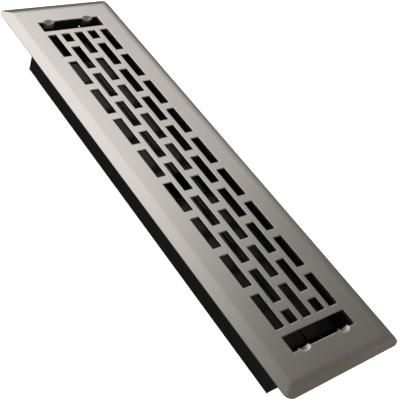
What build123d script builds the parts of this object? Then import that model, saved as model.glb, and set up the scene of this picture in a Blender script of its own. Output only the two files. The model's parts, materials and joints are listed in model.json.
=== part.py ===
from build123d import *
import math
import os

os.makedirs("parts", exist_ok=True)

# Floor register for a 2 by 12 inch floor duct. A pressed faceplate lies on the floor over a damper box, and
# the two louvers in the box turn together when the lever in one end window is pushed sideways.
# Millimetres. X runs along the register, away from the lever. Y runs across it and Z points up.
# The origin is the middle of the damper box, level with its bottom edges.

# Damper box
BOX_LENGTH = 300.4
BOX_WIDTH = 50.6
BOX_SHEET = 0.8
SHEET_BEND = 0.5
SIDE_SETBACK = 15.2
SIDE_FLANGE = 7.0
CAP_FLANGE = 24.5
CAP_LEDGE = 20.0
CORNER_RELIEF = 0.2

# Faceplate
FACE_TOP = 40.2
FACE_SHEET = 1.2
END_OVERHANG = 20.5
SIDE_OVERHANG = 19.15
FACE_CORNER = 5.0
BEVEL_RUN = 7.2
BEVEL_ANGLE = 18.2
BEVEL_BEND = 18.0
RIM_LIP = 0.6

# Grille and end windows
SLOT_LENGTH = 24.17
SLOT_WIDTH = 6.6
SLOT_GAP = 6.3
ROW_GAP = 4.0
WINDOW_LENGTH = 10.55
WINDOW_WIDTH = 48.8
WINDOW_BAR = 4.8
DIE_ROLL_WIDTH = 0.45
DIE_ROLL_DEPTH = 0.15

# Tabs pushed down from the faceplate at the outer edge of each window, each with a dent at its root
TAB_WIDTH = 8.2
TAB_SPACING = 31.4
TAB_DROP = 5.4
TAB_CLEARANCE = 0.15
DENT_REACH = 3.2
DENT_RADIUS = 5.9
DENT_SLOPE = 15.0
THROAT_RADIUS = 4.35
THROAT_SLOPE = 42.0

# Louvers
SHAFT_RADIUS = 1.5
BLADE_SHEET = 0.8
BLADE_HEM = 0.6
BLADE_DEPTH = 13.9
BLADE_WALL_GAP = 0.5
BLADE_MEETING_GAP = 0.8
OPEN_ANGLE = 80.0
LEVER_BAY = 32.7
PLAIN_BAY = 7.5
MIDDLE_BAY = 23.2
SHAFT_STANDOUT = 1.0
RUNNING_FIT = 0.05
FIXED_FIT = 0.02

# Bracket at mid-length that carries both shafts
BRACKET_WIDTH = 21.0
BRACKET_RISE = 3.0
BRACKET_EAR_WIDTH = 14.0
BRACKET_EAR_HEIGHT = 15.0

# Bushes in the end caps
BUSH_RADIUS = 2.6
BUSH_FLANGE_RADIUS = 4.2
BUSH_FLANGE = 1.0
BUSH_STANDOUT = 0.4

# Cranks, link bar with its lever, and crank pins
LEVER_TRAVEL = 14.2
LINK_SHEET = 1.5
LINK_WIDTH = 6.4
LEVER_BASE = 6.0
LEVER_TIP = 1.6
LEVER_TIP_ROUND = 0.7
LEVER_RECESS = 3.0
CRANK_SHEET = 1.5
CRANK_HUB_RADIUS = 4.2
CRANK_END_RADIUS = 3.2
PIN_RADIUS = 1.5
PIN_HEAD_RADIUS = 2.7
PIN_HEAD = 0.9
SIDE_PLAY = 0.1

# Rivets at the corners of the box
RIVET_RADIUS = 1.6
RIVET_HEAD_RADIUS = 2.8
RIVET_CROWN_RADIUS = 1.8
RIVET_HEAD = 0.9
RIVET_HEIGHT = 28.0

# Planes that several pieces share
box_half = BOX_LENGTH / 2
side_out = BOX_WIDTH / 2
side_in = side_out - BOX_SHEET
cap_in = side_in - BOX_SHEET
end_in = box_half - BOX_SHEET
face_under = FACE_TOP - FACE_SHEET
face_half_length = box_half + END_OVERHANG
face_half_width = side_out + SIDE_OVERHANG
window_in = end_in - WINDOW_LENGTH

# Louver places
blade_edge = cap_in - BLADE_WALL_GAP
shaft_y = (blade_edge + BLADE_MEETING_GAP / 2) / 2
blade_half = blade_edge - shaft_y
groove = SHAFT_RADIUS + FIXED_FIT
shaft_z = FACE_TOP - BLADE_DEPTH - BLADE_SHEET - groove
blade_length = (2 * end_in - LEVER_BAY - PLAIN_BAY - MIDDLE_BAY) / 2
lever_blade_start = -end_in + LEVER_BAY
bracket_x = lever_blade_start + blade_length + MIDDLE_BAY / 2
plain_blade_start = bracket_x + MIDDLE_BAY / 2

# Linkage places: the cranks hang down, and the lever stands at the middle of its window
link_x = -end_in + WINDOW_LENGTH / 2
crank_x = link_x + LINK_SHEET / 2 + SIDE_PLAY + CRANK_SHEET / 2
crank_angle = math.radians(OPEN_ANGLE / 2)
crank_radius = LEVER_TRAVEL / 2 / math.sin(crank_angle)
pin_dy = crank_radius * math.sin(crank_angle)
pin_dz = -crank_radius * math.cos(crank_angle)
pin_z = shaft_z + pin_dz

# The long walls stop short of the lever end, and each rivet sits where a wall laps an end cap
side_start = -box_half + SIDE_SETBACK
rivet_x = (box_half - CAP_FLANGE - side_start) / 2


def bevel_section(half, inset, bottom):
    """Crowned section of the faceplate: a flat top with a soft bend into a sloping rim, moved in by inset."""
    slope = math.radians(BEVEL_ANGLE)
    edge = half - inset
    top = FACE_TOP - inset
    run = BEVEL_RUN - inset + inset * math.tan(slope / 2)
    shoulder = top - run * math.tan(slope)
    right = [(edge, bottom), (edge, shoulder), (edge - run, top)]
    left = [(-y, z) for y, z in reversed(right)]
    face = make_face(Polyline(*right, *left, close=True))
    return fillet(face.vertices().group_by(Axis.Y)[-1], BEVEL_BEND - inset)


def crowned_block(inset, bottom):
    """Solid under the faceplate's outer surface, or under its inner one when inset is the sheet."""
    across = extrude(Plane.YZ * bevel_section(face_half_width, inset, bottom), face_half_length, both=True)
    along = extrude(Plane.XZ * bevel_section(face_half_length, inset, bottom), face_half_width, both=True)
    length = 2 * (face_half_length - inset)
    width = 2 * (face_half_width - inset)
    outline = RectangleRounded(length, width, FACE_CORNER - inset)
    return across & along & extrude(Pos(0, 0, bottom) * outline, FACE_TOP)


def slot_spans():
    """Start, end and row height of each slot: a running bond whose ends are cut off square."""
    period = SLOT_LENGTH + SLOT_GAP
    row_pitch = SLOT_WIDTH + ROW_GAP
    rounding = 1e-6
    columns = int((2 * (window_in - WINDOW_BAR) + SLOT_GAP) / period + rounding)
    rows = int((2 * side_in + ROW_GAP) / row_pitch + rounding)
    grille_end = (columns * period - SLOT_GAP) / 2
    for row in range(rows):
        y = (row - (rows - 1) / 2) * row_pitch
        shift = (row % 2) * period / 2
        for column in range(columns + row % 2):
            start = -grille_end + column * period - shift
            yield max(start, -grille_end), min(start + SLOT_LENGTH, grille_end), y


def both_sides(piece):
    return [piece, mirror(piece, Plane.XZ)]


def four_corners(piece):
    return both_sides(piece) + both_sides(mirror(piece, Plane.YZ))


def funnel(radius, slope, depth):
    """Cone, point down, that meets the plate's top in a circle, sunk by a depth square to its wall."""
    angle = math.radians(slope)
    height = radius * math.tan(angle) + FACE_SHEET
    cone = Cone(0, height / math.tan(angle), height, align=(Align.CENTER, Align.CENTER, Align.MAX))
    return Pos(0, 0, FACE_TOP + FACE_SHEET - depth / math.cos(angle)) * cone


def dent(depth):
    """Room of the dent at one tab of the +X window: a shallow funnel round a steep one, sunk by a depth."""
    place = Pos(end_in + DENT_REACH - DENT_RADIUS, TAB_SPACING / 2, 0)
    return place * (funnel(DENT_RADIUS, DENT_SLOPE, depth) + funnel(THROAT_RADIUS, THROAT_SLOPE, depth))


def bent_tab():
    """One tab at the +X window: the sheet of the dent, and a leg that runs on from it down the end wall."""
    middle_y = TAB_SPACING / 2
    middle_z = FACE_TOP - TAB_DROP / 2
    reach = DENT_REACH + FACE_SHEET
    sheet = Pos(end_in + reach / 2, middle_y, middle_z) * Box(reach, 2 * TAB_WIDTH, TAB_DROP)
    leg = Pos(end_in - FACE_SHEET / 2, middle_y, middle_z) * Box(FACE_SHEET, TAB_WIDTH, TAB_DROP)
    return (sheet & dent(FACE_SHEET)) + leg - dent(0)


def faceplate():
    slope_drop = BEVEL_RUN * math.tan(math.radians(BEVEL_ANGLE))
    rim = FACE_TOP - slope_drop - RIM_LIP
    plate = crowned_block(0, rim) - crowned_block(FACE_SHEET, rim - FACE_SHEET)
    openings = [Pos((a + b) / 2, y) * Rectangle(b - a, SLOT_WIDTH) for a, b, y in slot_spans()]
    for end in (-1, 1):
        openings.append(Pos(end * (window_in + end_in) / 2, 0) * Rectangle(WINDOW_LENGTH, WINDOW_WIDTH))
    plate -= extrude(Pos(0, 0, face_under) * (Sketch() + openings), 2 * FACE_SHEET, both=True)
    face = plate.faces().filter_by(Axis.Z).sort_by(Axis.Z)[-1]
    rims = [edge for wire in face.inner_wires() for edge in wire.edges()]
    plate = chamfer(rims, DIE_ROLL_WIDTH, DIE_ROLL_DEPTH, reference=face)
    plate -= four_corners(dent(0))
    return plate + four_corners(bent_tab())


def rivet_hole():
    """Cutter along Y for a pair of rivets, one through each long side of the box."""
    return Rot(90, 0, 0) * Cylinder(RIVET_RADIUS + FIXED_FIT, 2 * BOX_WIDTH)


def box_side():
    """Long wall on the +Y side, with a flange turned out under the faceplate."""
    flange_tip = side_out + SIDE_FLANGE
    flange_low = face_under - BOX_SHEET
    outline = Polyline(
        (side_in, 0), (side_out, 0), (side_out, flange_low),
        (flange_tip, flange_low), (flange_tip, face_under), (side_in, face_under), close=True,
    )
    section = make_face(outline)
    inner_bend = section.vertices().sort_by_distance((side_out, flange_low))[0]
    section = fillet(inner_bend, SHEET_BEND)
    outer_bend = section.vertices().sort_by_distance((side_in, face_under))[0]
    section = fillet(outer_bend, SHEET_BEND + BOX_SHEET)
    wall = Pos(side_start, 0, 0) * extrude(Plane.YZ * section, box_half - side_start)
    return wall - [Pos(end * rivet_x, 0, RIVET_HEIGHT) * rivet_hole() for end in (-1, 1)]


def end_cap():
    """Folded cap for the +X end: end wall, side flanges inside the long walls, and a ledge at the bottom."""
    start = box_half - CAP_FLANGE
    outer = Pos((start + box_half) / 2, 0) * Rectangle(CAP_FLANGE, 2 * side_in)
    outer = fillet(outer.vertices().group_by(Axis.X)[-1], SHEET_BEND + BOX_SHEET)
    inner = Pos((start + end_in) / 2, 0) * Rectangle(end_in - start, 2 * cap_in)
    inner = fillet(inner.vertices().group_by(Axis.X)[-1], SHEET_BEND)
    cap = extrude(outer - inner, face_under)
    bend_top = SHEET_BEND + BOX_SHEET + CORNER_RELIEF
    relief = Pos(box_half, 0, 0) * Box(2 * (SHEET_BEND + BOX_SHEET), BOX_WIDTH, 2 * bend_top)
    cap -= relief
    profile = Polyline(
        (box_half, bend_top), (box_half, 0), (end_in - CAP_LEDGE, 0),
        (end_in - CAP_LEDGE, BOX_SHEET), (end_in, BOX_SHEET), (end_in, bend_top), close=True,
    )
    fold = make_face(profile)
    fold = fillet(fold.vertices().sort_by_distance((box_half, 0))[0], SHEET_BEND + BOX_SHEET)
    fold = fillet(fold.vertices().sort_by_distance((end_in, BOX_SHEET))[0], SHEET_BEND)
    cap += extrude(Plane.XZ * fold, cap_in - SHEET_BEND - CORNER_RELIEF, both=True)
    bush_hole = Rot(0, 90, 0) * Cylinder(BUSH_RADIUS + FIXED_FIT, 4 * BOX_SHEET)
    cuts = [Pos(rivet_x, 0, RIVET_HEIGHT) * rivet_hole()]
    cuts += both_sides(Pos(box_half, shaft_y, shaft_z) * bush_hole)
    cuts += both_sides(dent(FACE_SHEET + TAB_CLEARANCE))
    return cap - cuts


def centre_bracket():
    """Channel across the box, open at the top, whose two walls carry the shafts. It has an ear at each end."""
    height = shaft_z + BRACKET_RISE
    wall_end = side_in - SHEET_BEND - 2 * BOX_SHEET
    outer = Pos(0, height / 2) * Rectangle(BRACKET_WIDTH, height)
    outer = fillet(outer.vertices().group_by(Axis.Y)[0], SHEET_BEND + BOX_SHEET)
    inner = Pos(0, BOX_SHEET + height / 2) * Rectangle(BRACKET_WIDTH - 2 * BOX_SHEET, height)
    inner = fillet(inner.vertices().group_by(Axis.Y)[0], SHEET_BEND)
    channel = extrude(Plane.XZ * (outer - inner), wall_end, both=True)
    ear_outer = Pos(0, BRACKET_EAR_HEIGHT / 2) * Rectangle(2 * side_in, BRACKET_EAR_HEIGHT)
    ear_outer = fillet(ear_outer.vertices().group_by(Axis.Y)[0], SHEET_BEND + BOX_SHEET)
    ear_inner = Pos(0, BOX_SHEET + BRACKET_EAR_HEIGHT / 2) * Rectangle(2 * cap_in, BRACKET_EAR_HEIGHT)
    ear_inner = fillet(ear_inner.vertices().group_by(Axis.Y)[0], SHEET_BEND)
    bracket = channel + extrude(Plane.YZ * (ear_outer - ear_inner), BRACKET_EAR_WIDTH / 2, both=True)
    shaft_hole = Rot(0, 90, 0) * Cylinder(SHAFT_RADIUS + RUNNING_FIT, 2 * BRACKET_WIDTH)
    bracket -= both_sides(Pos(0, shaft_y, shaft_z) * shaft_hole)
    return Pos(bracket_x, 0, 0) * bracket


def rivet(grip):
    """Rivet along +Y: its shank spans the grip from y = 0, flush there, and a low tapered head ends it."""
    steps = [
        (0, 0), (RIVET_RADIUS, 0), (RIVET_RADIUS, grip), (RIVET_HEAD_RADIUS, grip),
        (RIVET_CROWN_RADIUS, grip + RIVET_HEAD), (0, grip + RIVET_HEAD),
    ]
    return revolve(make_face(Polyline(*steps, close=True)), Axis.Y)


def shaft(side):
    half = box_half + SHAFT_STANDOUT
    rod = Rot(0, 90, 0) * Cylinder(SHAFT_RADIUS, 2 * half)
    return Pos(0, side * shaft_y, shaft_z) * rod


def louver_wing(side, start):
    """Blade with hemmed edges, plain on top, and a channel under its middle that grips the shaft."""
    blade_z = groove + BLADE_SHEET / 2
    hem = Rectangle(BLADE_SHEET, BLADE_SHEET + BLADE_HEM)
    hem_y = blade_half - BLADE_SHEET / 2
    section = Pos(0, blade_z) * Rectangle(2 * blade_half, BLADE_SHEET)
    section += Pos(hem_y, blade_z - BLADE_HEM / 2) * hem
    section += Pos(-hem_y, blade_z + BLADE_HEM / 2) * hem
    section += Rectangle(2 * (groove + BLADE_SHEET), 2 * groove) - Rectangle(2 * groove, 2 * groove)
    wing = extrude(Plane.YZ * section, blade_length)
    return Pos(start, side * shaft_y, shaft_z) * wing


def crank(side):
    """Drop-shaped arm that turns with the shaft and holds the crank pin."""
    hub = Circle(CRANK_HUB_RADIUS)
    end = Pos(pin_dy, pin_dz) * Circle(CRANK_END_RADIUS)
    arm = make_hull(hub.edges() + end.edges())
    arm -= Circle(SHAFT_RADIUS + FIXED_FIT)
    arm -= Pos(pin_dy, pin_dz) * Circle(PIN_RADIUS + FIXED_FIT)
    plate = extrude(Plane.YZ * arm, CRANK_SHEET / 2, both=True)
    return Pos(crank_x, side * shaft_y, shaft_z) * plate


def crank_pin(side):
    """Pin along X, set flush in the crank. The link bar turns on it, between the crank and the pin's head."""
    crank_face = crank_x + CRANK_SHEET / 2
    link_face = link_x - LINK_SHEET / 2 - SIDE_PLAY
    steps = [
        (crank_face, 0), (crank_face, PIN_RADIUS), (link_face, PIN_RADIUS), (link_face, PIN_HEAD_RADIUS),
        (link_face - PIN_HEAD, PIN_HEAD_RADIUS), (link_face - PIN_HEAD, 0),
    ]
    pin = revolve(make_face(Polyline(*steps, close=True)), Axis.X)
    return Pos(0, side * shaft_y + pin_dy, pin_z) * pin


def lever_link():
    """Flat stamping: a bar between the two crank pins and a tapered lever that rises into the end window."""
    bar = SlotCenterToCenter(2 * shaft_y, LINK_WIDTH)
    tip = FACE_TOP - LEVER_RECESS - pin_z
    lever = make_face(Polyline(
        (-LEVER_BASE / 2, 0), (LEVER_BASE / 2, 0), (LEVER_TIP / 2, tip), (-LEVER_TIP / 2, tip), close=True,
    ))
    lever = fillet(lever.vertices().group_by(Axis.Y)[-1], LEVER_TIP_ROUND)
    stamping = bar + lever
    for side in (-1, 1):
        stamping -= Pos(side * shaft_y, 0) * Circle(PIN_RADIUS + RUNNING_FIT)
    plate = extrude(Plane.YZ * stamping, LINK_SHEET / 2, both=True)
    return Pos(link_x, pin_dy, pin_z) * plate


def bush(side):
    """Flanged bush pressed into the +X end cap, with its flange inside."""
    bore = SHAFT_RADIUS + RUNNING_FIT
    steps = [
        (end_in - BUSH_FLANGE, bore), (end_in - BUSH_FLANGE, BUSH_FLANGE_RADIUS), (end_in, BUSH_FLANGE_RADIUS),
        (end_in, BUSH_RADIUS), (box_half + BUSH_STANDOUT, BUSH_RADIUS), (box_half + BUSH_STANDOUT, bore),
    ]
    return Pos(0, side * shaft_y, shaft_z) * revolve(make_face(Polyline(*steps, close=True)), Axis.X)


sides = {"left": -1, "right": 1}
side_wall = box_side()
cap = end_cap()
corner_rivet = Pos(rivet_x, cap_in, RIVET_HEIGHT) * rivet(2 * BOX_SHEET)
nodes = {
    "faceplate": faceplate(),
    "box_side_right": side_wall,
    "box_side_left": mirror(side_wall, Plane.XZ),
    "end_cap_plain": cap,
    "end_cap_lever": mirror(cap, Plane.YZ),
    "centre_bracket": centre_bracket(),
    "corner_rivets": Compound(four_corners(corner_rivet)),
    "lever_link": lever_link(),
}
for name, side in sides.items():
    nodes[f"bush_plain_{name}"] = bush(side)
    nodes[f"bush_lever_{name}"] = mirror(bush(side), Plane.YZ)
    nodes[f"shaft_{name}"] = shaft(side)
    nodes[f"wing_lever_{name}"] = louver_wing(side, lever_blade_start)
    nodes[f"wing_plain_{name}"] = louver_wing(side, plain_blade_start)
    nodes[f"crank_{name}"] = crank(side)
    nodes[f"crank_pin_{name}"] = crank_pin(side)

for name, solid in nodes.items():
    export_step(solid, f"parts/{name}.step")
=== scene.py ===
import json
import math

import bpy
from mathutils import Matrix, Vector


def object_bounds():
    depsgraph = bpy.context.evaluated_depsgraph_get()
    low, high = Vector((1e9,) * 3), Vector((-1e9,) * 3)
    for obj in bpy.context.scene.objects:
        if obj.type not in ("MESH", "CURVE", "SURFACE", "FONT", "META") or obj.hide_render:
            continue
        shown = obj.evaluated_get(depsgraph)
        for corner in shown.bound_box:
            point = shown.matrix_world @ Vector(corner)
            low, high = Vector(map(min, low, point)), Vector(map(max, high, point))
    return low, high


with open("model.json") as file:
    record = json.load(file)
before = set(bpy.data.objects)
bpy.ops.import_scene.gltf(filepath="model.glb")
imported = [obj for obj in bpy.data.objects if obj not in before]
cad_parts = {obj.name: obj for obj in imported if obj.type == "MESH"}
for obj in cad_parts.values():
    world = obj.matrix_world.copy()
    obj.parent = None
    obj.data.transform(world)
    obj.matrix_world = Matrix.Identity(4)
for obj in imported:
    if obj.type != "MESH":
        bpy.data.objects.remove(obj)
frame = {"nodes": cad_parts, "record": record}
cad_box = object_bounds()
nodes = frame["nodes"]
scene = bpy.context.scene
slot_of = {s["node"]: s["material_slot"] for s in frame["record"]["subparts"]}

# The photograph's camera: place and clipping distances in metres, and axes in the part's frame. The focal
# length and the picture's longer side, its height, are in pixels, and the sensor's side is in millimetres
CAMERA_PLACE = (0.26231, -0.28833, 0.36032)
CAMERA_RIGHT = (0.55041, 0.78112, 0.29478)
CAMERA_DOWN = (0.69169, -0.22891, -0.68496)
CAMERA_FORWARD = (-0.46756, 0.58090, -0.66629)
CAMERA_CLIP = (0.01, 50.0)
FOCAL_PIXELS = 789.08
IMAGE_HEIGHT = 401
SENSOR = 36.0


def add_camera():
    data = bpy.data.cameras.new("camera")
    data.sensor_width = SENSOR
    data.lens = FOCAL_PIXELS * SENSOR / IMAGE_HEIGHT
    data.clip_start, data.clip_end = CAMERA_CLIP
    camera = bpy.data.objects.new("camera", data)
    right, up, back = Vector(CAMERA_RIGHT), -Vector(CAMERA_DOWN), -Vector(CAMERA_FORWARD)
    turn = Matrix((right, up, back)).transposed().to_4x4()
    camera.matrix_world = Matrix.Translation(CAMERA_PLACE) @ turn
    scene.collection.objects.link(camera)
    scene.camera = camera


# Where most values of a noise lie
NOISE_SPAN = (0.3, 0.7)


class Tree:
    """The nodes of a material or of the world, built with short calls."""

    def __init__(self, owner):
        owner.use_nodes = True
        self.tree = owner.node_tree
        self.tree.nodes.clear()

    def add(self, kind, **settings):
        node = self.tree.nodes.new(kind)
        for key, value in settings.items():
            setattr(node, key, value)
        return node

    def give(self, socket, value):
        """Link another node's output to a socket, or set the socket to a number, vector or colour."""
        if isinstance(value, bpy.types.NodeSocket):
            self.tree.links.new(value, socket)
        elif socket.type == "RGBA":
            socket.default_value = (*value, 1.0)
        else:
            socket.default_value = value

    def fill(self, node, **values):
        """Give values to a node's sockets by their names, with underscores for spaces."""
        for key, value in values.items():
            self.give(node.inputs[key.replace("_", " ")], value)

    def operate(self, kind, operation, values):
        """Node that works on a row of values."""
        node = self.add(kind, operation=operation)
        for socket, value in zip(node.inputs, values):
            self.give(socket, value)
        return node

    def math(self, operation, *values):
        return self.operate("ShaderNodeMath", operation, values).outputs["Value"]

    def split(self, vector):
        """The X, Y and Z of a vector."""
        node = self.add("ShaderNodeSeparateXYZ")
        self.fill(node, Vector=vector)
        return node.outputs

    def spread(self, value, low, high, span=NOISE_SPAN, interpolation="LINEAR"):
        """Map a value to the range from low to high, which it runs through while it crosses the span."""
        node = self.add("ShaderNodeMapRange", interpolation_type=interpolation)
        self.fill(node, Value=value, From_Min=span[0], From_Max=span[1], To_Min=low, To_Max=high)
        return node.outputs["Result"]

    def fade(self, value, span, start=0.0, end=1.0):
        """Soft change from start to end while the value crosses the span."""
        return self.spread(value, start, end, span, "SMOOTHSTEP")

    def mix(self, amount, first, second, kind="RGBA"):
        """Blend two colours, or two vectors, by a value."""
        node = self.add("ShaderNodeMix", data_type=kind)
        self.fill(node, Factor=amount, A=first, B=second)
        return node.outputs["Result"]


# Rounding of the part's sharp edges in metres, how many samples it takes, and the span of the cosine between
# the rounded normal and the face's own over which an edge counts as worn
EDGE_RADIUS = 0.0003
EDGE_SAMPLES = 6
EDGE_SPAN = (0.75, 0.99)


class Shader(Tree):
    """One material, with its nodes round a principled shader."""

    def __init__(self, name):
        self.material = bpy.data.materials.new(name)
        super().__init__(self.material)
        self.principled = self.add("ShaderNodeBsdfPrincipled")
        output = self.add("ShaderNodeOutputMaterial")
        self.fill(output, Surface=self.principled.outputs["BSDF"])

    def set(self, **values):
        """Give values to the principled shader's sockets."""
        self.fill(self.principled, **values)

    def finish(self, normal):
        self.set(Normal=normal)
        return self.material

    def place(self, scale=(1, 1, 1)):
        """Object coordinates in metres, stretched."""
        coordinates = self.add("ShaderNodeTexCoord")
        mapping = self.add("ShaderNodeMapping")
        self.fill(mapping, Vector=coordinates.outputs["Object"], Scale=scale)
        return mapping.outputs["Vector"]

    def noise(self, vector, scale, detail, roughness=0.5):
        node = self.add("ShaderNodeTexNoise")
        self.fill(node, Vector=vector, Scale=scale, Detail=detail, Roughness=roughness)
        return node.outputs["Fac"]

    def tones(self, value, dark, light):
        """Colours from a dark to a light one, by a noise's value."""
        node = self.add("ShaderNodeValToRGB")
        for element, position, colour in zip(node.color_ramp.elements, NOISE_SPAN, (dark, light)):
            element.position = position
            element.color = (*colour, 1.0)
        self.fill(node, Fac=value)
        return node.outputs["Color"]

    def vector_math(self, operation, *values):
        node = self.operate("ShaderNodeVectorMath", operation, values)
        return node.outputs["Value" if operation in ("DOT_PRODUCT", "LENGTH") else "Vector"]

    def edges(self, radius=EDGE_RADIUS):
        """Normal rounded over the edges, and a value that rises from 0 to 1 towards sharp ones."""
        rounded = self.add("ShaderNodeBevel", samples=EDGE_SAMPLES)
        self.fill(rounded, Radius=radius)
        normal = rounded.outputs["Normal"]
        geometry = self.add("ShaderNodeNewGeometry")
        cosine = self.vector_math("DOT_PRODUCT", normal, geometry.outputs["Normal"])
        return normal, self.spread(cosine, 1.0, 0.0, EDGE_SPAN)

    def bump(self, height, normal, strength=1.0, depth=1.0):
        """Normal turned by a relief. With no strength or depth given, the height is in metres."""
        node = self.add("ShaderNodeBump")
        self.fill(node, Height=height, Normal=normal, Strength=strength, Distance=depth)
        return node.outputs["Normal"]


# The faceplate's rim in metres: the plate's half sizes, how far from its edge the photograph's bend starts,
# the bend's radius and the slope that it ends in, and how softly the bends of two sides meet at a corner.
# The rim's own normal is used on faces that look up, by a span of their cosine, and near enough to the edge,
# by a span of distances
PLATE_HALF_LENGTH, PLATE_HALF_WIDTH = cad_box[1][:2]
RIM_START = 0.0082
RIM_RADIUS = 0.0133
RIM_SLOPE = math.radians(21.0)
HIP_SOFTNESS = 0.003
RIM_UPPER = (0.80, 0.90)
RIM_ZONE = (0.013, 0.016)


def rim_height(s, distance):
    """Height of the photograph's rim at a distance from its edge, above the centre that it bends round."""
    run = s.math("MAXIMUM", s.math("SUBTRACT", RIM_START, distance), 0.0)
    turned = s.math("MINIMUM", run, RIM_RADIUS * math.sin(RIM_SLOPE))
    level = s.math("SQRT", s.math("SUBTRACT", RIM_RADIUS ** 2, s.math("MULTIPLY", turned, turned)))
    straight = s.math("MULTIPLY", s.math("SUBTRACT", run, turned), -math.tan(RIM_SLOPE))
    return s.math("ADD", straight, level)


def rim_normal(s, place, normal):
    """The given normal, but on the upper side of the rim that of the photograph's tighter bend."""
    x, y = s.split(place)[:2]
    along = s.math("SUBTRACT", PLATE_HALF_LENGTH, s.math("ABSOLUTE", x))
    across = s.math("SUBTRACT", PLATE_HALF_WIDTH, s.math("ABSOLUTE", y))
    upright = s.add("ShaderNodeVectorTransform", vector_type="NORMAL")
    upright.convert_from, upright.convert_to = "OBJECT", "WORLD"
    s.fill(upright, Vector=(0.0, 0.0, 1.0))
    up = upright.outputs["Vector"]
    bent = s.bump(rim_height(s, s.math("SMOOTH_MIN", along, across, HIP_SOFTNESS)), up)
    geometry = s.add("ShaderNodeNewGeometry")
    cosine = s.vector_math("DOT_PRODUCT", geometry.outputs["True Normal"], up)
    upper = s.spread(cosine, 0.0, 1.0, RIM_UPPER)
    outer = s.spread(s.math("MINIMUM", along, across), 1.0, 0.0, RIM_ZONE)
    return s.mix(s.math("MULTIPLY", upper, outer), normal, bent, "VECTOR")


# The dents at the tabs in metres: where the axis of one is, how wide its steep throat is, the radius and the
# slope in degrees of the shallow ring round it, as modelled and as in the photograph, the distances from the
# axis over which the rougher metal and the painted shade of the dents end, and the rounding of the edges in
# it
DENT_AXIS = (0.1467, 0.0157, 0.0)
DENT_THROAT = 0.00369
MODEL_RING = (0.0059, 15.0)
PHOTO_RING = (0.0052, 20.0)
DENT_ROUGH_AND_SHADE = (0.0042, 0.0052)
DENT_EDGE_RADIUS = 0.0012
SEEN_FROM_ABOVE = (1.0, 1.0, 0.0)


def dent_distance(s, place):
    """Distance from the axis of the nearest dent, seen from above. The four dents mirror one another."""
    offset = s.vector_math("SUBTRACT", s.vector_math("ABSOLUTE", place), DENT_AXIS)
    return s.vector_math("LENGTH", s.vector_math("MULTIPLY", offset, SEEN_FROM_ABOVE))


def ring_depth(s, distance, radius, slope):
    """Depth of a dent's shallow ring at a distance from the dent's axis."""
    inside = s.math("MAXIMUM", s.math("SUBTRACT", radius, distance), 0.0)
    reach = s.math("MINIMUM", inside, radius - DENT_THROAT)
    return s.math("MULTIPLY", reach, math.tan(math.radians(slope)))


def dent_shift(s, distance):
    """Height that turns the normals of the modelled dents into those of the photograph's narrower ones."""
    return s.math("SUBTRACT", ring_depth(s, distance, *MODEL_RING), ring_depth(s, distance, *PHOTO_RING))


# Linear colours of the faceplate, the darker dent colour being painted shade, the scale of its brush strokes
# along the axes, and how much rougher than the rest the dents are and how much smoother the edges
NICKEL_DARK = (0.640, 0.610, 0.563)
NICKEL_LIGHT = (0.675, 0.646, 0.598)
NICKEL_EDGE = (0.72, 0.70, 0.66)
NICKEL_DENT_SHADE = (0.56, 0.535, 0.49)
STROKE_SCALE = (30, 5000, 5000)
DENT_ROUGHER = 0.14
EDGE_SMOOTHER = 0.06


def satin_nickel():
    s = Shader("satin_nickel")
    place = s.place()
    distance = dent_distance(s, place)
    dented = s.spread(distance, 1.0, 0.0, DENT_ROUGH_AND_SHADE)
    normal, edge = s.edges(s.spread(dented, EDGE_RADIUS, DENT_EDGE_RADIUS, span=(0.0, 1.0)))
    normal = rim_normal(s, place, s.bump(dent_shift(s, distance), normal))
    strokes = s.noise(s.place(STROKE_SCALE), scale=1.0, detail=3.0, roughness=0.6)
    clouds = s.noise(place, scale=16.0, detail=3.0)
    tone = s.mix(edge, s.tones(clouds, NICKEL_DARK, NICKEL_LIGHT), NICKEL_EDGE)
    rough = s.math("ADD", s.spread(strokes, low=0.235, high=0.275), s.spread(clouds, low=-0.02, high=0.02))
    rough = s.math("ADD", rough, s.math("MULTIPLY", dented, DENT_ROUGHER))
    rough = s.math("SUBTRACT", rough, s.math("MULTIPLY", edge, EDGE_SMOOTHER))
    # In the dents the base colour darkens to painted shade, and the metal is rougher there
    s.set(Metallic=1.0, Base_Color=s.mix(dented, tone, NICKEL_DENT_SHADE), Roughness=rough)
    return s.finish(s.bump(strokes, normal, strength=0.03, depth=0.00002))


# Linear colours of the damper box
ENAMEL_DARK = (0.0046, 0.0046, 0.0046)
ENAMEL_LIGHT = (0.0068, 0.0066, 0.0063)
ENAMEL_EDGE = (0.022, 0.021, 0.020)


def black_enamel():
    s = Shader("black_enamel")
    normal, edge = s.edges()
    peel = s.noise(s.place(), scale=900.0, detail=2.0)
    patches = s.noise(s.place(), scale=40.0, detail=4.0)
    tone = s.mix(edge, s.tones(patches, ENAMEL_DARK, ENAMEL_LIGHT), ENAMEL_EDGE)
    s.set(Base_Color=tone, Roughness=s.spread(patches, low=0.40, high=0.54), Specular_IOR_Level=0.3)
    return s.finish(s.bump(peel, normal, strength=0.15, depth=0.0001))


# Linear colours of the louvers, and the scales of their orange peel and their patches along the axes
LOUVER_DARK = (0.0105, 0.0105, 0.0105)
LOUVER_LIGHT = (0.0150, 0.0145, 0.0140)
LOUVER_EDGE = (0.016, 0.016, 0.015)
LOUVER_PEEL_SCALE = (1, 2, 2)
LOUVER_PATCH_SCALE = (1, 4, 4)


def louver_enamel():
    s = Shader("louver_enamel")
    normal, edge = s.edges()
    peel = s.noise(s.place(LOUVER_PEEL_SCALE), scale=500.0, detail=2.0)
    patches = s.noise(s.place(LOUVER_PATCH_SCALE), scale=30.0, detail=4.0)
    tone = s.mix(edge, s.tones(patches, LOUVER_DARK, LOUVER_LIGHT), LOUVER_EDGE)
    s.set(Base_Color=tone, Roughness=s.spread(patches, low=0.18, high=0.26), Specular_IOR_Level=0.20)
    return s.finish(s.bump(peel, normal, strength=0.12, depth=0.0001))
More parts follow.
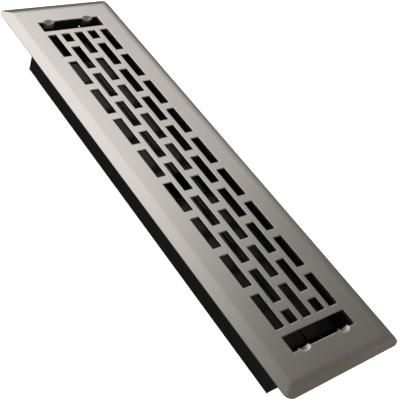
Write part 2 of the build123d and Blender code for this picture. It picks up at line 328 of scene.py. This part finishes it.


# Linear colours of the lever, and the heights in metres over which its painted shade lower down gives way to
# the tip
ZINC_DARK = (0.80, 0.79, 0.77)
ZINC_LIGHT = (0.88, 0.87, 0.85)
ZINC_EDGE = (0.92, 0.91, 0.89)
ZINC_PAINTED_SHADE = (0.012, 0.012, 0.012)
SHADE_FADE_HEIGHTS = (0.0338, 0.0348)


def zinc_plate():
    s = Shader("zinc_plate")
    normal, edge = s.edges()
    place = s.place()
    clouds = s.noise(place, scale=260.0, detail=3.0)
    bright = s.mix(edge, s.tones(clouds, ZINC_DARK, ZINC_LIGHT), ZINC_EDGE)
    unshaded_tip = s.spread(s.split(place)["Z"], 0.0, 1.0, SHADE_FADE_HEIGHTS)
    # Below the tip the lever's colour is painted shade, near black, fading out by height
    tone = s.mix(unshaded_tip, ZINC_PAINTED_SHADE, bright)
    s.set(Metallic=1.0, Base_Color=tone, Roughness=s.spread(clouds, low=0.30, high=0.44))
    return s.finish(s.bump(clouds, normal, strength=0.1, depth=0.00005))


# Linear colours of the bushes
NYLON_DARK = (0.012, 0.012, 0.012)
NYLON_LIGHT = (0.018, 0.018, 0.018)
NYLON_EDGE = (0.026, 0.026, 0.026)


def black_nylon():
    s = Shader("black_nylon")
    normal, edge = s.edges()
    grain = s.noise(s.place(), scale=2500.0, detail=2.0)
    tone = s.mix(edge, s.tones(grain, NYLON_DARK, NYLON_LIGHT), NYLON_EDGE)
    s.set(Base_Color=tone, Roughness=s.spread(grain, low=0.5, high=0.65))
    return s.finish(s.bump(grain, normal, strength=0.1, depth=0.00005))


FINISHES = (satin_nickel, black_enamel, louver_enamel, zinc_plate, black_nylon)


def dress_nodes():
    """Give each node the material that is named like its slot."""
    made = {finish.__name__: finish() for finish in FINISHES}
    for name, node in nodes.items():
        node.data.materials.clear()
        node.data.materials.append(made[slot_of[name]])


# Corners of the floor, and of the patch of it that the box covers, painted dark as the box's shadow, in
# metres.
# The patch reaches a little further at the lever end's right corner, where the camera looks out under the
# end cap. The floor lies a hair below the box
FLOOR_CORNERS = [(-4.0, -4.0), (4.0, -4.0), (4.0, 4.0), (-4.0, 4.0)]
COVERED_CORNERS = [(-0.1500, -0.0250), (0.1500, -0.0250), (0.1500, 0.0262), (-0.1530, 0.0262)]
FLOOR_HEIGHT = -0.0002
WHITE = (1.0, 1.0, 1.0)


def floor_finish(name, grey, glow):
    """Dull paper that can give light of its own."""
    s = Shader(name)
    s.set(Base_Color=(grey, grey, grey), Roughness=0.9, Specular_IOR_Level=0.1)
    s.set(Emission_Color=WHITE, Emission_Strength=glow)
    return s.material


def add_floor():
    """Floor as white as the photograph's, with light of its own, and painted dark as a shadow where the box
    covers it.
    """
    corners = [(x, y, 0.0) for x, y in FLOOR_CORNERS + COVERED_CORNERS]
    count = len(FLOOR_CORNERS)
    pairs = [(i, (i + 1) % count) for i in range(count)]
    faces = [(i, j, count + j, count + i) for i, j in pairs]
    covered = tuple(range(count, 2 * count))
    mesh = bpy.data.meshes.new("floor")
    mesh.from_pydata(corners, [], [*faces, covered])
    mesh.materials.append(floor_finish("floor_paper", grey=0.92, glow=1.0))
    # The covered patch is near-black painted shadow with no light of its own
    mesh.materials.append(floor_finish("floor_shaded", grey=0.02, glow=0.0))
    mesh.polygons[len(faces)].material_index = 1
    floor = bpy.data.objects.new("floor", mesh)
    floor.location.z = FLOOR_HEIGHT
    floor.visible_glossy = False
    scene.collection.objects.link(floor)


# The lamp above the part: place and size in metres, and radiance
LAMP_PLACE = (0.0, 0.0, 2.5)
LAMP_SIZE = 6.0
LAMP_RADIANCE = 0.5


def add_lamp():
    """Wide soft light that faces the part. It lights floor and paint, but the metal doesn't mirror it."""
    data = bpy.data.lights.new("overhead", "AREA")
    data.size = LAMP_SIZE
    data.energy = LAMP_RADIANCE * math.pi * LAMP_SIZE * LAMP_SIZE
    lamp = bpy.data.objects.new("overhead", data)
    lamp.location = LAMP_PLACE
    lamp.rotation_euler = Vector(LAMP_PLACE).to_track_quat("Z", "Y").to_euler()
    lamp.visible_glossy = False
    scene.collection.objects.link(lamp)


# The studio that the metal mirrors. A direction's lean is how far it points to the lever end, from -1 to 1,
# its side is how far it points to the right, its turn is in degrees from the lever end towards the right,
# and its lift is in degrees above the floor. Each pair is a span over which light comes in or goes out.
# The soft box lies beyond the lever end. Its lower edge is slanted, and so is the line under which it is
# dimmer: the lift at which they lie changes with the turn
BOX_LEAN = (0.228, 0.595)
BOX_LEFT = (-75, -35)
BOX_FLOOR_SLANT = 0.3
BOX_FLOOR = (19.5, 25.5)
BOX_DIM_SLANT = 0.51
BOX_DIM = (11.6, 19.0)
BOX_DIM_SHARE = 0.38
BOX_COLOUR = (1.264, 1.251, 1.274)
# A weaker light lies behind the other end. It reaches higher on the left side
BACK_LEAN = (-0.35, 0.0)
BACK_SIDE = (-0.35, -0.1)
BACK_LIFT = (22, 34)
BACK_FLOOR = (3, 12)
BACK_SHARE = 0.55
# The rest is a dim room, and the whole studio is darker below the floor
ROOM_COLOUR = (0.154, 0.144, 0.133)
ROOM_LOW = (-16, -4)
ROOM_LOW_SHARE = 0.5


def box_light(sky, lean, turn, lift):
    """Share of the soft box's light in a direction."""
    glow = sky.math("MULTIPLY", sky.fade(lean, BOX_LEAN), sky.fade(turn, BOX_LEFT))
    above_edge = sky.math("ADD", lift, sky.math("MULTIPLY", turn, BOX_FLOOR_SLANT))
    glow = sky.math("MULTIPLY", glow, sky.fade(above_edge, BOX_FLOOR))
    above_dim = sky.math("SUBTRACT", lift, sky.math("MULTIPLY", turn, BOX_DIM_SLANT))
    return sky.math("MULTIPLY", glow, sky.fade(above_dim, BOX_DIM, BOX_DIM_SHARE))


def back_light(sky, lean, side, lift):
    """The weaker light in a direction, as a share of the soft box's."""
    left, low = sky.fade(side, BACK_SIDE, 1.0, 0.0), sky.fade(lift, BACK_LIFT, 1.0, 0.0)
    behind = sky.math("MULTIPLY", sky.fade(lean, BACK_LEAN, 1.0, 0.0), sky.fade(lift, BACK_FLOOR))
    behind = sky.math("MULTIPLY", behind, sky.math("MAXIMUM", left, low))
    return sky.math("MULTIPLY", behind, BACK_SHARE)


def add_studio():
    """World that lights the part like the photograph's studio, in front of a white backdrop."""
    scene.world = bpy.data.worlds.new("studio")
    sky = Tree(scene.world)
    coordinates = sky.add("ShaderNodeTexCoord")
    x, y, z = sky.split(coordinates.outputs["Generated"])
    lean = sky.math("MULTIPLY", x, -1.0)
    turn = sky.math("DEGREES", sky.math("ARCTAN2", y, lean))
    lift = sky.math("DEGREES", sky.math("ARCSINE", z))
    glow = sky.math("MAXIMUM", box_light(sky, lean, turn, lift), back_light(sky, lean, y, lift))
    strength = sky.fade(lift, ROOM_LOW, ROOM_LOW_SHARE)
    room = sky.add("ShaderNodeBackground")
    sky.fill(room, Color=sky.mix(glow, ROOM_COLOUR, BOX_COLOUR), Strength=strength)
    backdrop = sky.add("ShaderNodeBackground")
    sky.fill(backdrop, Color=WHITE)
    path = sky.add("ShaderNodeLightPath")
    choice = sky.add("ShaderNodeMixShader")
    sources = (path.outputs["Is Camera Ray"], room.outputs["Background"], backdrop.outputs["Background"])
    for socket, source in zip(choice.inputs, sources):
        sky.give(socket, source)
    output = sky.add("ShaderNodeOutputWorld")
    sky.fill(output, Surface=choice.outputs["Shader"])


add_camera()
dress_nodes()
add_floor()
add_lamp()
add_studio()
scene.view_settings.view_transform = "Standard"
